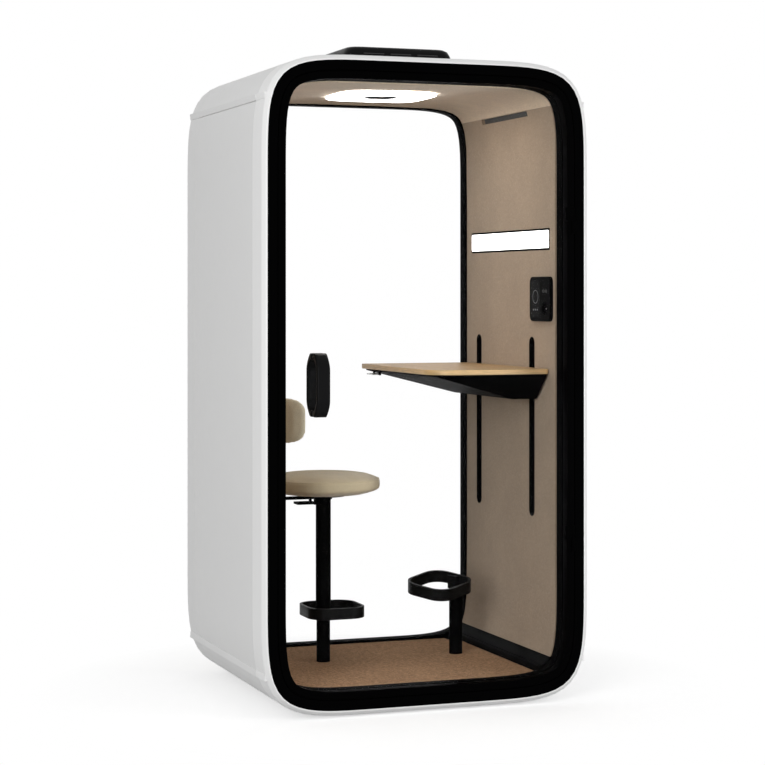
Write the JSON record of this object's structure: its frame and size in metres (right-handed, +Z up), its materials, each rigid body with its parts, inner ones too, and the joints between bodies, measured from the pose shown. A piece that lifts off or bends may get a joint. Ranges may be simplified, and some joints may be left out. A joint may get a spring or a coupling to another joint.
{
  "type": "acoustic office pod",
  "caption": "Free-standing acoustic booth with soft corners, glass door and rear glass, felt-lined cabin, height-adjustable shelf desk, swivel stool and footrest.",
  "frame": {"origin": "on the floor under the middle of the outer box, door handle included", "axes": "+X towards the wall that carries the desk, -Y out of the door, +Z up"},
  "size_m": [1.18, 1.0322, 2.277],
  "materials": {
    "white_shell": "satin white paint",
    "acoustic_core": "open-cell core",
    "deck_wood": "plain plywood",
    "black_metal": "satin black powder coat",
    "black_frame": "matt black",
    "black_door": "black anodised",
    "clear_glass": "clear laminated",
    "seal_rubber": "matt",
    "wall_felt": "pressed felt",
    "carpet_pile": "short pile",
    "black_plastic": "satin black",
    "light_diffuser": "opal",
    "screen_glass": "glossy black",
    "desk_wood": "oiled oak",
    "bare_steel": "satin",
    "seat_fabric": "fine wool weave"
  },
  "bodies": {
    "pod": {"front_bezel": "white_shell", "rear_bezel": "white_shell", "roof_shell": "white_shell", "base_shell": "white_shell", "left_side_panel": "white_shell", "right_side_panel": "white_shell", "left_core": "acoustic_core", "right_core": "acoustic_core", "roof_core": "acoustic_core", "floor_deck": "deck_wood", "levelling_foot_1": "black_metal", "levelling_foot_2": "black_metal", "levelling_foot_3": "black_metal", "levelling_foot_4": "black_metal", "front_frame": "black_frame", "rear_frame": "black_frame", "rear_glass": "clear_glass", "door_seal": "seal_rubber", "upper_hinge_leaf": "black_metal", "lower_hinge_leaf": "black_metal", "left_lining": "wall_felt", "right_lining": "wall_felt", "ceiling_lining": "wall_felt", "left_skirting": "black_plastic", "right_skirting": "black_plastic", "carpet": "carpet_pile", "ceiling_light_diffuser": "light_diffuser", "ceiling_vent": "black_plastic", "fan_housing": "black_plastic", "roof_vent_hood": "black_plastic", "wall_light_frame": "black_plastic", "wall_light_diffuser": "light_diffuser", "control_housing": "black_plastic", "control_screen": "screen_glass", "power_socket": "black_plastic", "front_rail": "black_metal", "rear_rail": "black_metal", "seat_post": "black_metal", "gas_cylinder": "black_metal", "footrest_post": "black_metal", "footrest_ring": "black_metal"},
    "door": {"door_frame": "black_door", "door_glass": "clear_glass", "outer_handle": "black_metal", "inner_handle": "black_metal", "upper_hinge_knuckle": "black_metal", "lower_hinge_knuckle": "black_metal"},
    "desk": {"desk_top": "desk_wood", "desk_bracket": "black_plastic", "desk_carriage": "black_metal"},
    "desk_release": {"desk_lever": "bare_steel"},
    "seat_column": {"seat_sleeve": "black_metal", "foot_ring": "black_metal", "gas_rod": "bare_steel"},
    "seat": {"seat_plate": "black_metal", "seat_cushion": "seat_fabric", "backrest_arm": "black_metal", "backrest_pad": "seat_fabric"},
    "seat_release": {"seat_lever": "black_plastic"},
    "fan": {"fan_impeller": "black_plastic"}
  },
  "joints": [
    {"name": "door_swing", "type": "hinge", "parent": "pod", "child": "door", "pos_m": [0.53, -0.47385, 1.1], "axis": [0, 0, 1], "range_deg": [0, 100]},
    {"name": "desk_lift", "type": "slide", "parent": "pod", "child": "desk", "axis": [0, 0, 1], "range_m": [-0.4, 0.12]},
    {"name": "desk_release_pull", "type": "hinge", "parent": "desk", "child": "desk_release", "pos_m": [0.094, 0.32115, 1.112], "axis": [0, 1, 0], "range_deg": [0, 10], "stiffness_Nm_per_rad": 0.8, "springref_deg": -5.73},
    {"name": "seat_lift", "type": "slide", "parent": "pod", "child": "seat_column", "axis": [0, 0, 1], "range_m": [-0.1, 0.1]},
    {"name": "seat_swivel", "type": "hinge", "parent": "seat_column", "child": "seat", "pos_m": [-0.188, 0.10915, 0.672], "axis": [0, 0, 1], "continuous": true},
    {"name": "seat_release_pull", "type": "hinge", "parent": "seat", "child": "seat_release", "pos_m": [-0.228, 0.10915, 0.6607], "axis": [0, 1, 0], "range_deg": [0, 8], "stiffness_Nm_per_rad": 1.2, "springref_deg": -5.73},
    {"name": "fan_spin", "type": "hinge", "parent": "pod", "child": "fan", "pos_m": [0, 0.02115, 2.17], "axis": [0, 0, 1], "continuous": true}
  ]
}
